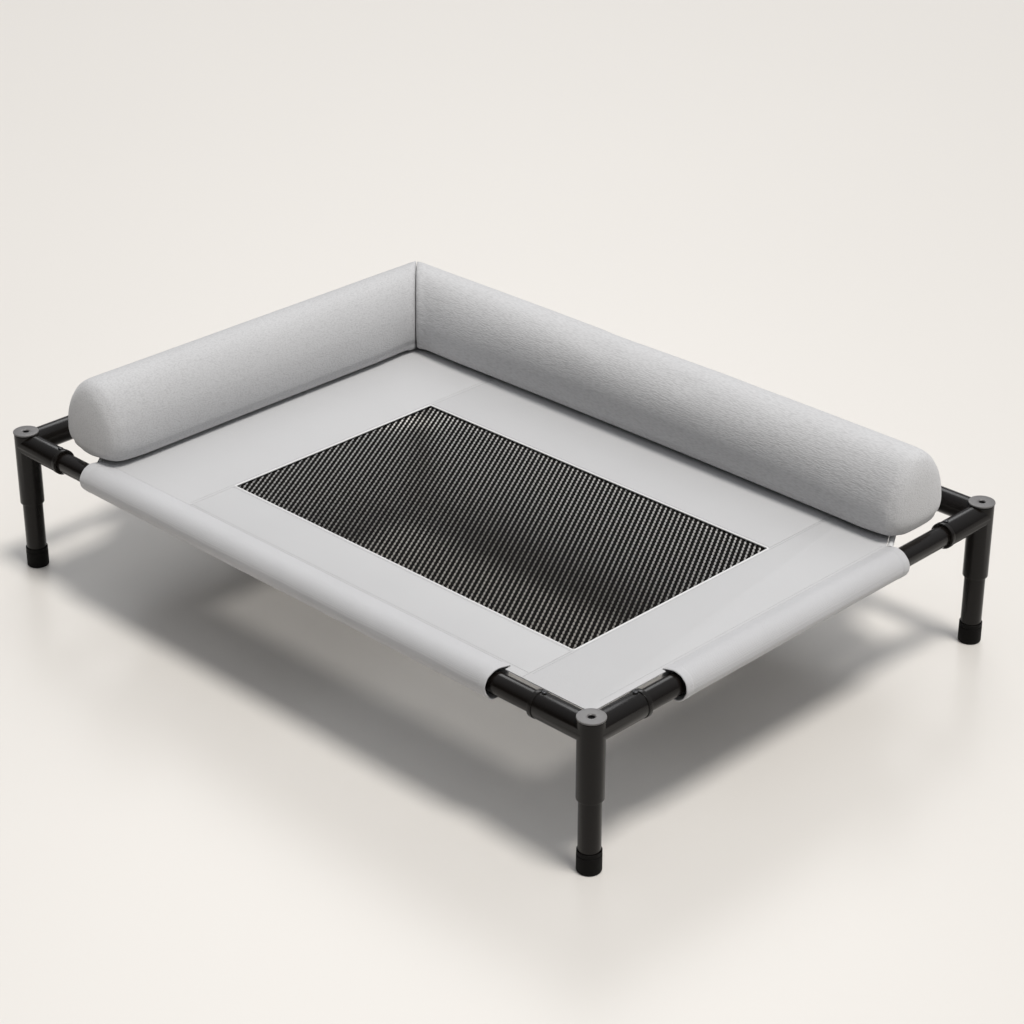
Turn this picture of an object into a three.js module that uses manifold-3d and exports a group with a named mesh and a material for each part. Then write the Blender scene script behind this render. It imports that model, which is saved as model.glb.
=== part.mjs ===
// Elevated dog bed: a black tube frame on four legs carries a fabric deck with a see-through
// mesh panel, and two stuffed bolsters meet in a mitre along the left and back edges.
// Millimetres, +Z up. +X is to the right along the long side and +Y is to the back. The origin
// is on the floor, under the centre of the frame.

import * as THREE from "three";
import { mergeVertices } from "three/addons/utils/BufferGeometryUtils.js";
import Module from "manifold-3d";

const wasm = await Module();
wasm.setup();

// ---- driving dimensions ----

const POST_SPAN_X = 970; // left post axis to right post axis
const POST_SPAN_Y = 680; // front post axis to back post axis
const RAIL_HEIGHT = 171.5; // height of the rail axes
const DECK_TOP = 186; // height of the lying surface
const GAP = 0.3; // air between pieces that touch

const TUBE = { radius: 12.7, wall: 1.5 };
const SOCKET = { radius: 15.3, bore: 13, armEnd: 78, armBoreStart: 21, postBottom: 90, postBoreTop: 152 };
const CAP = { radius: 16, thickness: 2, hole: 3.75 };
const BOLT = { headRadius: 5, headHeight: 6, hexRadius: 2.3, hexDepth: 3, shankRadius: 3, length: 58 };
const BOLT_UNDER_CAP = 1; // air between a cap and the bolt's head
const COUNTERBORE = { radius: 5.5, depth: 7.5 };
const BOLT_HOLE = 3.4; // radius of the clearance hole round a leg bolt
const INSERT = { radius: 10.9, height: 28 };
const FOOT = { radius: 14, height: 26.5, floor: 4, chamfer: 1.5 };
const SCREW = { headRadius: 3.2, headTop: 2.6, headHeight: 1.6, shankRadius: 1.6, length: 7, fromArmEnd: 9 };
const SCREW_LEAN = 8; // degrees from straight up

const SLEEVE = { radius: 18, cloth: 1, outward: 1, seamFront: 18, seamSide: 15 };
const SLEEVE_END = { long: 135, short: 127 }; // from the front right post axis
const SLEEVE_SEAM = { width: 2.7, drop: 1 }; // the doubled cloth where a sleeve meets the deck
const RELIEF = { left: 119, right: 88, y: 148 }; // how far the deck's corner cuts reach along its edges
const TIP_RADIUS = 12; // rounded deck corner without a cut
const FLAP = { fromRail: 11.5, fromSleeve: 2 }; // free deck edge between that corner and the sleeves
const BAND = 1.6; // thickness of the doubled deck cloth
const OPENING = { left: 302, right: 109, front: 89, back: 266 }; // margins from the post axes
const MESH = { thickness: 1, underlap: 7 };
const HEM = { width: 9, thickness: 0.8 };
const CORNER_HEM = 2.6; // radius of the rolled hem along a corner cut

const BOLSTER = { halfWidth: 52, halfHeight: 73, equator: 213.5, dome: 26, pastSeam: 14 };
const BOLSTER_AXIS = { fromSideRail: 118, fromBackRail: 114.5 };
const STRIP = { width: 50, thickness: 1, fromMitre: 40, fromEnd: 150 };

// ---- derived places ----

const HALF_X = POST_SPAN_X / 2;
const HALF_Y = POST_SPAN_Y / 2;
const SEAM_X = HALF_X - SLEEVE.seamSide;
const SEAM_Y = HALF_Y - SLEEVE.seamFront;
const CAP_BOTTOM = RAIL_HEIGHT + SOCKET.radius + GAP;
const OPEN = {
  left: -HALF_X + OPENING.left,
  right: HALF_X - OPENING.right,
  front: -HALF_Y + OPENING.front,
  back: HALF_Y - OPENING.back,
};
const CUT_LEFT = -SEAM_X + RELIEF.left;
const CUT_RIGHT = SEAM_X - RELIEF.right;
const CUT_Y = SEAM_Y - RELIEF.y;
const FLAP_X = HALF_X - FLAP.fromRail;
const FLAP_Y = HALF_Y - FLAP.fromRail;

// ---- fineness of the faceting ----

const ROUND = 24; // sides of a tube
const BOLT_SIDES = 16;
const SMALL_SIDES = 12; // sides of a screw or a rolled hem
const HEXAGON = 6;
const SLEEVE_STEPS = 20;
const TIP_STEPS = 6;
const ROLL_SIDES = 32;
const DOME_RINGS = 16;
const OVERRUN = 1; // how far a cutting solid or a joined one runs past a face

// ---- materials ----

const satinBlack = { color: 0x17171a, roughness: 0.3, metalness: 0.6 };
const mouldedBlack = { color: 0x18181a, roughness: 0.42, metalness: 0.1 };
const capGrey = { color: 0x3a3a3d, roughness: 0.4, metalness: 0.3 };
const steel = { color: 0x55565a, roughness: 0.35, metalness: 0.9 };
const rubberBlack = { color: 0x0f0f10, roughness: 0.85, metalness: 0 };
const deckCloth = { color: 0xcfcfcf, roughness: 0.9, metalness: 0 };
const bolsterCloth = { color: 0xb9b9bb, roughness: 0.95, metalness: 0 };
const meshBlack = { color: 0x1c1b1b, roughness: 0.7, metalness: 0 };
const hookBlack = { color: 0x222224, roughness: 0.95, metalness: 0 };

const bed = new THREE.Group();

// ---- helpers ----

function addPiece(name, geometry, look, place = new THREE.Matrix4()) {
  const mesh = new THREE.Mesh(geometry, new THREE.MeshStandardMaterial(look));
  mesh.name = name;
  mesh.applyMatrix4(place);
  bed.add(mesh);
}

function toSolid(geometry) {
  const bare = new THREE.BufferGeometry();
  bare.setAttribute("position", geometry.getAttribute("position").clone());
  bare.setIndex(geometry.getIndex());
  const welded = mergeVertices(bare, 1e-4);
  const vertProperties = new Float32Array(welded.getAttribute("position").array);
  const triVerts = new Uint32Array(welded.getIndex().array);
  return new wasm.Manifold(new wasm.Mesh({ numProp: 3, vertProperties, triVerts }));
}

function toGeometry(solid) {
  const mesh = solid.getMesh();
  const geometry = new THREE.BufferGeometry();
  geometry.setAttribute("position", new THREE.BufferAttribute(mesh.vertProperties, 3));
  geometry.setIndex(new THREE.BufferAttribute(mesh.triVerts, 1));
  return geometry;
}

// A ring or rod turned about +Z, from its [radius, height] profile.
function turned(profile, sides = ROUND) {
  const points = profile.map(([radius, height]) => new THREE.Vector2(radius, height));
  return new THREE.LatheGeometry(points, sides).rotateX(Math.PI / 2);
}

function rod(radius, bottom, top, sides = ROUND) {
  return new THREE.CylinderGeometry(radius, radius, top - bottom, sides)
    .rotateX(Math.PI / 2)
    .translate(0, 0, (bottom + top) / 2);
}

function ring(outer, inner, bottom, top, sides = ROUND) {
  return turned([[inner, bottom], [outer, bottom], [outer, top], [inner, top], [inner, bottom]], sides);
}

function box(x0, x1, y0, y1, z0, z1) {
  return new THREE.BoxGeometry(x1 - x0, y1 - y0, z1 - z0)
    .translate((x0 + x1) / 2, (y0 + y1) / 2, (z0 + z1) / 2);
}

// A flat sheet cut to an outline, with its top face at the given height.
function sheet(shape, thickness, top) {
  return new THREE.ExtrudeGeometry(shape, { depth: thickness, bevelEnabled: false })
    .translate(0, 0, top - thickness);
}

function outline(points) {
  return new THREE.Shape(points.map(([x, y]) => new THREE.Vector2(x, y)));
}

// Turns a piece built along +Z so that it runs along +X, or along +Y.
const alongX = new THREE.Matrix4().makeRotationY(Math.PI / 2);
const alongY = new THREE.Matrix4().makeRotationX(-Math.PI / 2);

const corners = [
  { name: "front_left", x: -1, y: -1 },
  { name: "front_right", x: 1, y: -1 },
  { name: "back_left", x: -1, y: 1 },
  { name: "back_right", x: 1, y: 1 },
];

// ---- corners and legs ----

// A three-way socket: one post downwards and two arms towards the neighbouring corners.
function connectorGeometry(corner) {
  const arm = () => rod(SOCKET.radius, 0, SOCKET.armEnd);
  const armBore = () => rod(SOCKET.bore, SOCKET.armBoreStart, SOCKET.armEnd + OVERRUN);
  const towards = (geometry, axis, side) => {
    const turn = axis === "x" ? alongX : alongY;
    const flip = side > 0 ? Math.PI : 0;
    return geometry.applyMatrix4(turn).rotateZ(flip).translate(0, 0, RAIL_HEIGHT);
  };
  let body = toSolid(rod(SOCKET.radius, SOCKET.postBottom, CAP_BOTTOM - GAP));
  for (const axis of ["x", "y"]) {
    body = body.add(toSolid(towards(arm(), axis, corner[axis])));
  }
  for (const axis of ["x", "y"]) {
    body = body.subtract(toSolid(towards(armBore(), axis, corner[axis])));
    body = body.subtract(toSolid(screwHole(axis, corner)));
  }
  body = body.subtract(toSolid(rod(SOCKET.bore, SOCKET.postBottom - OVERRUN, SOCKET.postBoreTop)));
  body = body.subtract(toSolid(rod(BOLT_HOLE, SOCKET.postBoreTop - OVERRUN, CAP_BOTTOM)));
  const counterbore = rod(COUNTERBORE.radius, CAP_BOTTOM - COUNTERBORE.depth, CAP_BOTTOM + OVERRUN);
  body = body.subtract(toSolid(counterbore));
  return toGeometry(body);
}

// Place of a rail screw from the corner's post axis: it points at the rail axis, and leans from
// straight up towards the inside of the frame. Its head rests on the socket at the given lift.
function screwPlace(axis, corner, lift) {
  const alongArm = SOCKET.armEnd - SCREW.fromArmEnd;
  const lean = THREE.MathUtils.degToRad(SCREW_LEAN);
  const inward = new THREE.Vector3(-corner.x, -corner.y, 0);
  const run = new THREE.Vector3(axis === "x" ? inward.x : 0, axis === "y" ? inward.y : 0, 0);
  const lateral = inward.clone().sub(run);
  const up = new THREE.Vector3(0, 0, Math.cos(lean)).addScaledVector(lateral, Math.sin(lean));
  const turn = new THREE.Quaternion().setFromUnitVectors(new THREE.Vector3(0, 0, 1), up);
  const at = new THREE.Vector3(0, 0, RAIL_HEIGHT).addScaledVector(run, alongArm).addScaledVector(up, lift);
  return new THREE.Matrix4().compose(at, turn, new THREE.Vector3(1, 1, 1));
}

function screwHole(axis, corner) {
  const hole = rod(SCREW.shankRadius + GAP, 0, 2 * SOCKET.radius, SMALL_SIDES);
  return hole.applyMatrix4(screwPlace(axis, corner, 0));
}

// Socket-head bolt that holds the leg up into its corner, head up, with a hexagonal recess.
function legBoltGeometry() {
  const top = CAP_BOTTOM - BOLT_UNDER_CAP;
  const under = top - BOLT.headHeight;
  const solid = toSolid(rod(BOLT.headRadius, under, top, BOLT_SIDES))
    .add(toSolid(rod(BOLT.shankRadius, top - BOLT.length, under + OVERRUN, BOLT_SIDES)))
    .subtract(toSolid(rod(BOLT.hexRadius, top - BOLT.hexDepth, top + OVERRUN, HEXAGON)));
  return toGeometry(solid);
}

function railScrewGeometry() {
  return turned([
    [0, -SCREW.length],
    [SCREW.shankRadius, -SCREW.length],
    [SCREW.shankRadius, 0],
    [SCREW.headRadius, 0],
    [SCREW.headTop, SCREW.headHeight],
    [0, SCREW.headHeight],
  ], SMALL_SIDES);
}

function footGeometry() {
  return turned([
    [0, 0],
    [FOOT.radius - FOOT.chamfer, 0],
    [FOOT.radius, FOOT.chamfer],
    [FOOT.radius, FOOT.height],
    [TUBE.radius + GAP, FOOT.height],
    [TUBE.radius + GAP, FOOT.floor],
    [0, FOOT.floor],
  ]);
}

for (const corner of corners) {
  const at = new THREE.Matrix4().makeTranslation(corner.x * HALF_X, corner.y * HALF_Y, 0);
  const legTop = SOCKET.postBoreTop - GAP;
  const { radius, wall } = TUBE;
  addPiece(`corner_connector_${corner.name}`, connectorGeometry(corner), mouldedBlack, at);
  const cap = ring(CAP.radius, CAP.hole, CAP_BOTTOM, CAP_BOTTOM + CAP.thickness);
  addPiece(`corner_cap_${corner.name}`, cap, capGrey, at);
  addPiece(`leg_bolt_${corner.name}`, legBoltGeometry(), steel, at);
  addPiece(`leg_tube_${corner.name}`, ring(radius, radius - wall, FOOT.floor + GAP, legTop), satinBlack, at);
  const insert = ring(INSERT.radius, BOLT_HOLE, legTop - INSERT.height, legTop);
  addPiece(`leg_insert_${corner.name}`, insert, steel, at);
  addPiece(`foot_cap_${corner.name}`, footGeometry(), rubberBlack, at);
  for (const axis of ["x", "y"]) {
    const along = axis === "x" ? "long" : "short";
    const place = at.clone().multiply(screwPlace(axis, corner, SOCKET.radius + GAP));
    addPiece(`rail_screw_${along}_${corner.name}`, railScrewGeometry(), steel, place);
  }
}

// ---- rails ----

// A rail tube with the four holes, two at each end, that its screws pass through.
function railGeometry(length, axis, side) {
  const half = axis === "x" ? HALF_X : HALF_Y;
  const tube = ring(TUBE.radius, TUBE.radius - TUBE.wall, -length / 2, length / 2)
    .applyMatrix4(axis === "x" ? alongX : alongY)
    .translate(0, 0, RAIL_HEIGHT);
  let body = toSolid(tube);
  for (const end of [-1, 1]) {
    const corner = axis === "x" ? { x: end, y: side } : { x: side, y: end };
    const offset = axis === "x" ? [end * half, 0, 0] : [0, end * half, 0];
    body = body.subtract(toSolid(screwHole(axis, corner).translate(...offset)));
  }
  return toGeometry(body);
}

const longRail = POST_SPAN_X - 2 * (SOCKET.armBoreStart + GAP);
const shortRail = POST_SPAN_Y - 2 * (SOCKET.armBoreStart + GAP);
for (const [name, side] of [["front", -1], ["back", 1]]) {
  const place = new THREE.Matrix4().makeTranslation(0, side * HALF_Y, 0);
  addPiece(`${name}_rail`, railGeometry(longRail, "x", side), satinBlack, place);
}
for (const [name, side] of [["left", -1], ["right", 1]]) {
  const place = new THREE.Matrix4().makeTranslation(side * HALF_X, 0, 0);
  addPiece(`${name}_rail`, railGeometry(shortRail, "y", side), satinBlack, place);
}

// ---- rail sleeves ----

// Section of a sleeve, across its rail: cloth that leaves the deck's seam, goes over and round the
// rail and comes back to the seam from below. u points from the rail to the bed's middle.
function sleeveLoop(radius, seam, closeAt) {
  const centre = new THREE.Vector2(-SLEEVE.outward, 0);
  const join = new THREE.Vector2(seam, closeAt);
  const reach = join.distanceTo(centre);
  const facing = Math.atan2(join.y - centre.y, join.x - centre.x);
  const tangent = Math.acos(radius / reach);
  const points = [join];
  for (let step = 0; step <= SLEEVE_STEPS; step += 1) {
    const angle = facing + tangent + (2 * Math.PI - 2 * tangent) * (step / SLEEVE_STEPS);
    points.push(new THREE.Vector2(Math.cos(angle), Math.sin(angle)).multiplyScalar(radius).add(centre));
  }
  return points;
}

function sleeveGeometry(seam, from, to) {
  const { width, drop } = SLEEVE_SEAM;
  const closeAt = DECK_TOP - RAIL_HEIGHT - drop;
  const shape = new THREE.Shape(sleeveLoop(SLEEVE.radius, seam - GAP, closeAt));
  const inside = sleeveLoop(SLEEVE.radius - SLEEVE.cloth, seam - GAP - width, closeAt - drop);
  shape.holes.push(new THREE.Path(inside));
  return new THREE.ExtrudeGeometry(shape, { depth: to - from, bevelEnabled: false }).translate(0, 0, from);
}

// A sleeve runs from one X or Y to another along its rail. Inward points from the rail to the bed's
// middle. The section is drawn in XY, and it is stood up across the rail.
function addSleeve(name, seam, inward, from, to) {
  const up = new THREE.Vector3(0, 0, 1);
  const run = new THREE.Vector3().crossVectors(inward, up);
  const sign = run.x + run.y;
  const ends = [from * sign, to * sign].sort((a, b) => a - b);
  const place = new THREE.Matrix4().makeBasis(inward, up, run);
  place.setPosition(-inward.x * HALF_X, -inward.y * HALF_Y, RAIL_HEIGHT);
  addPiece(name, sleeveGeometry(seam, ...ends), deckCloth, place);
}

const toBack = new THREE.Vector3(0, 1, 0);
const toFront = new THREE.Vector3(0, -1, 0);
const toRight = new THREE.Vector3(1, 0, 0);
const toLeft = new THREE.Vector3(-1, 0, 0);
addSleeve("front_sleeve", SLEEVE.seamFront, toBack, CUT_LEFT, HALF_X - SLEEVE_END.long);
addSleeve("back_sleeve", SLEEVE.seamFront, toFront, CUT_LEFT, CUT_RIGHT);
addSleeve("left_sleeve", SLEEVE.seamSide, toRight, -CUT_Y, CUT_Y);
addSleeve("right_sleeve", SLEEVE.seamSide, toLeft, -HALF_Y + SLEEVE_END.short, CUT_Y);

// ---- deck ----

// Points of the rounded front right corner of the deck, from its front side to its right side.
function tipArc(centreX, centreY) {
  const steps = Array.from({ length: TIP_STEPS + 1 }, (_, step) => step / TIP_STEPS);
  const angles = steps.map((share) => (Math.PI / 2) * (share - 1));
  return angles.map((angle) => [
    centreX + TIP_RADIUS * Math.cos(angle),
    centreY + TIP_RADIUS * Math.sin(angle),
  ]);
}

// The left and right bands run the full depth. The front and back bands lie between them. Beside
// the uncut corner the deck runs on past its seams, as far as the rails' inner sides.
function addDeckBands() {
  const leftBand = outline([
    [CUT_LEFT, -SEAM_Y], [OPEN.left - GAP, -SEAM_Y], [OPEN.left - GAP, SEAM_Y],
    [CUT_LEFT, SEAM_Y], [-SEAM_X, CUT_Y], [-SEAM_X, -CUT_Y],
  ]);
  const flapLeft = HALF_X - SLEEVE_END.long + FLAP.fromSleeve;
  const flapBack = -HALF_Y + SLEEVE_END.short - FLAP.fromSleeve;
  const rightBand = outline([
    [SEAM_X, CUT_Y], [CUT_RIGHT, SEAM_Y], [OPEN.right + GAP, SEAM_Y], [OPEN.right + GAP, -FLAP_Y],
    ...tipArc(FLAP_X - TIP_RADIUS, -FLAP_Y + TIP_RADIUS), [FLAP_X, flapBack], [SEAM_X, flapBack],
  ]);
  const frontBand = outline([
    [OPEN.left, -SEAM_Y], [flapLeft, -SEAM_Y], [flapLeft, -FLAP_Y], [OPEN.right, -FLAP_Y],
    [OPEN.right, OPEN.front], [OPEN.left, OPEN.front],
  ]);
  const low = DECK_TOP - BAND;
  addPiece("deck_band_left", sheet(leftBand, BAND, DECK_TOP), deckCloth);
  addPiece("deck_band_right", sheet(rightBand, BAND, DECK_TOP), deckCloth);
  addPiece("deck_band_front", sheet(frontBand, BAND, DECK_TOP), deckCloth);
  addPiece("deck_band_back", box(OPEN.left, OPEN.right, OPEN.back, SEAM_Y, low, DECK_TOP), deckCloth);
}

// Corners of the opening, moved outwards.
function openingGrown(by) {
  const { left, right, front, back } = OPEN;
  return [
    [left - by, front - by], [right + by, front - by],
    [right + by, back + by], [left - by, back + by],
  ];
}

// The mesh panel closes the opening from below, and a flat hem holds its edge under the bands.
function addMeshPanel() {
  const meshTop = DECK_TOP - BAND - GAP;
  const mesh = outline(openingGrown(MESH.underlap));
  addPiece("mesh_panel", sheet(mesh, MESH.thickness, meshTop), meshBlack);
  const hem = outline(openingGrown(HEM.width));
  hem.holes.push(new THREE.Path(openingGrown(0).map(([x, y]) => new THREE.Vector2(x, y))));
  addPiece("mesh_hem", sheet(hem, HEM.thickness, meshTop - MESH.thickness - GAP), deckCloth);
}

// A rolled hem lies along each of the deck's three corner cuts.
function addCornerHem(corner) {
  const start = new THREE.Vector3(corner.x * SEAM_X, corner.y * CUT_Y, 0);
  const end = new THREE.Vector3(corner.x < 0 ? CUT_LEFT : CUT_RIGHT, corner.y * SEAM_Y, 0);
  const run = end.clone().sub(start);
  const outwards = new THREE.Vector3(corner.x * Math.abs(run.y), corner.y * Math.abs(run.x), 0).normalize();
  const middle = start.clone().add(end).multiplyScalar(0.5).addScaledVector(outwards, CORNER_HEM + GAP);
  const along = run.clone().normalize();
  const turn = new THREE.Quaternion().setFromUnitVectors(new THREE.Vector3(0, 0, 1), along);
  middle.z = DECK_TOP - CORNER_HEM;
  const place = new THREE.Matrix4().compose(middle, turn, new THREE.Vector3(1, 1, 1));
  const half = run.length() / 2;
  addPiece(`deck_corner_hem_${corner.name}`, rod(CORNER_HEM, -half, half, SMALL_SIDES), deckCloth, place);
}

addDeckBands();
addMeshPanel();
for (const corner of corners.filter((each) => each.name !== "front_right")) {
  addCornerHem(corner);
}

// ---- bolsters ----

const BOLSTER_BASE = DECK_TOP + 2 * STRIP.thickness + 3 * GAP;
const MITRE_X = -HALF_X + BOLSTER_AXIS.fromSideRail;
const MITRE_Y = HALF_Y - BOLSTER_AXIS.fromBackRail;
const FAR = 2 * POST_SPAN_X; // beyond every piece

// A stuffed roll along +X with its axis on the origin's line: an elliptical section with a flat
// base and one domed end. It starts at the mitre and ends at the given length.
function rollSolid(start, length) {
  const { halfWidth, halfHeight, dome, equator } = BOLSTER;
  const straight = length - dome;
  const roll = rod(1, start, straight, ROLL_SIDES).rotateY(Math.PI / 2).scale(1, halfWidth, halfHeight);
  const end = new THREE.SphereGeometry(1, ROLL_SIDES, DOME_RINGS)
    .scale(dome, halfWidth, halfHeight)
    .translate(straight, 0, 0);
  const above = box(-FAR, FAR, -FAR, FAR, BOLSTER_BASE - equator, FAR);
  return toSolid(roll).add(toSolid(end)).intersect(toSolid(above));
}

// The two rolls cross at the mitre. Each is built past it and cut on the upright 45 degree plane.
function addBolsters() {
  const past = -2 * BOLSTER.halfWidth;
  const place = new THREE.Matrix4().makeTranslation(MITRE_X, MITRE_Y, BOLSTER.equator);
  const backSide = box(-FAR, FAR, GAP / 2, FAR, -FAR, FAR).rotateZ(-Math.PI / 4);
  const leftSide = box(-FAR, FAR, -FAR, -GAP / 2, -FAR, FAR).rotateZ(-Math.PI / 4);
  const backLength = SEAM_X + BOLSTER.pastSeam - MITRE_X;
  const leftLength = SEAM_Y + BOLSTER.pastSeam + MITRE_Y;
  const backRoll = rollSolid(past, backLength).intersect(toSolid(backSide));
  const leftRoll = rollSolid(past, leftLength).rotate([0, 0, -90]).intersect(toSolid(leftSide));
  addPiece("back_bolster", toGeometry(backRoll), bolsterCloth, place);
  addPiece("left_bolster", toGeometry(leftRoll), bolsterCloth, place);
}

// Hook tape under each bolster meets loop tape on the deck.
function addStrips() {
  const loopTop = DECK_TOP + GAP + STRIP.thickness;
  const hookTop = loopTop + GAP + STRIP.thickness;
  const half = STRIP.width / 2;
  const spans = {
    left: [MITRE_X - half, MITRE_X + half, -SEAM_Y + STRIP.fromEnd, MITRE_Y - STRIP.fromMitre],
    back: [MITRE_X + STRIP.fromMitre, SEAM_X - STRIP.fromEnd, MITRE_Y - half, MITRE_Y + half],
  };
  for (const [name, span] of Object.entries(spans)) {
    addPiece(`${name}_loop_strip`, box(...span, loopTop - STRIP.thickness, loopTop), hookBlack);
    addPiece(`${name}_hook_strip`, box(...span, hookTop - STRIP.thickness, hookTop), hookBlack);
  }
}

addBolsters();
addStrips();

export default bed;
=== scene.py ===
"""Looks of the elevated dog bed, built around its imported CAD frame. Metres, +Z up, +X right, +Y back."""

import math

import bmesh
import bpy
import numpy as np
from mathutils import Matrix, Vector


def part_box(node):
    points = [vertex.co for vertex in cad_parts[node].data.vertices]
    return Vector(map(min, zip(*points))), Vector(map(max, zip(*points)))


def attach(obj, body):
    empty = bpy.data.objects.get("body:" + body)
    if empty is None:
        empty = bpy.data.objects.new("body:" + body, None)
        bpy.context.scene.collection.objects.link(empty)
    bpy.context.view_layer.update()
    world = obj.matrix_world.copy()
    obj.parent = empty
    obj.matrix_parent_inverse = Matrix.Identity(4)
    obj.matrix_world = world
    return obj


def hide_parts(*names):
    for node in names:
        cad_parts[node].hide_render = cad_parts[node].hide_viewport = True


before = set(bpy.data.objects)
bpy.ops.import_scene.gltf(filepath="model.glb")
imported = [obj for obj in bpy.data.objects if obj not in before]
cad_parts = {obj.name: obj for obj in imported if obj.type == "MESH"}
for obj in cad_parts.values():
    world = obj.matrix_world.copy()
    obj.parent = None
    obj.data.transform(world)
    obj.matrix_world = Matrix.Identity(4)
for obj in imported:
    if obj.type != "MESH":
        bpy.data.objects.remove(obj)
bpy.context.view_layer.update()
MM = 0.001
CORNERS = {"front_left": (-1, -1), "front_right": (1, -1), "back_left": (-1, 1), "back_right": (1, 1)}

# ---- places, from the CAD frame ----


def span(node, axis):
    """(lowest, highest) of a CAD node along one axis."""
    low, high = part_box(node)
    return low[axis], high[axis]


def width(node, axis):
    low, high = span(node, axis)
    return high - low


def middle(node):
    low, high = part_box(node)
    return (low + high) / 2


DECK_TOP = span("deck_band_left", 2)[1]
BAND_BOTTOM = span("deck_band_left", 2)[0]
RAIL_Z = middle("front_rail").z
TUBE_R = width("front_rail", 2) / 2
SEAM_X = -span("deck_band_left", 0)[0]
SEAM_Y = span("deck_band_right", 1)[1]
OPEN_X = span("deck_band_front", 0)
OPEN_Y = (span("deck_band_front", 1)[1], span("deck_band_back", 1)[0])
CUT_LEFT, CUT_RIGHT = span("back_sleeve", 0)
CUT_Y = span("left_sleeve", 1)[1]
FLAP_HEM = 2.2 * MM  # turned edge of the deck's free flap, past the flat cloth
FLAP_X = span("deck_band_right", 0)[1] + FLAP_HEM
FLAP_Y = -span("deck_band_right", 1)[0] + FLAP_HEM
FLAP_SLIT = 2 * MM  # between the flap and the ends of the two sleeves beside it
FLAP_LEFT = span("front_sleeve", 0)[1] + FLAP_SLIT
FLAP_BACK = span("right_sleeve", 1)[0] - FLAP_SLIT
CAP_BOTTOM, CAP_TOP = span("corner_cap_front_left", 2)
CAP_R = width("corner_cap_front_left", 0) / 2
POST_BOTTOM = span("corner_connector_front_left", 2)[0]
FOOT_TOP = span("foot_cap_front_left", 2)[1]
FOOT_R = width("foot_cap_front_left", 0) / 2
MESH_BOTTOM, MESH_TOP = span("mesh_panel", 2)

TUBE_WALL = 1.5 * MM
TUBE_EDGE = 0.4 * MM
SOCKET_BORE = 13 * MM
SOCKET_ARM = 78 * MM
SOCKET_RIM = 0.7 * MM
SOCKET_EDGE = 1.2 * MM
ARM_BORE_START = 21 * MM
POST_BORE_TOP = 152 * MM
BOLT_HOLE, BOLT_HEAD_HOLE = 3.4 * MM, 5.5 * MM
BOLT_HEAD_DEPTH = 7.5 * MM
CAP_HOLE = 3.75 * MM
FOOT_LIP = 5 * MM  # from the foot's top down to the groove round it
FOOT_FLOOR = 4 * MM
SCREW_FROM_MOUTH = 9 * MM
SCREW_LEAN = math.radians(8)
SLEEVE_R = 18 * MM
SLEEVE_OUTWARD = 1 * MM
SLEEVE_CLOTH = 1 * MM
GAP = 0.3 * MM
SOCKET_R = CAP_BOTTOM - GAP - RAIL_Z
ABOVE_ALL = 300 * MM  # a height clear of the whole object, where bores end
SIDES = 56

# ---- node materials ----


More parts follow.
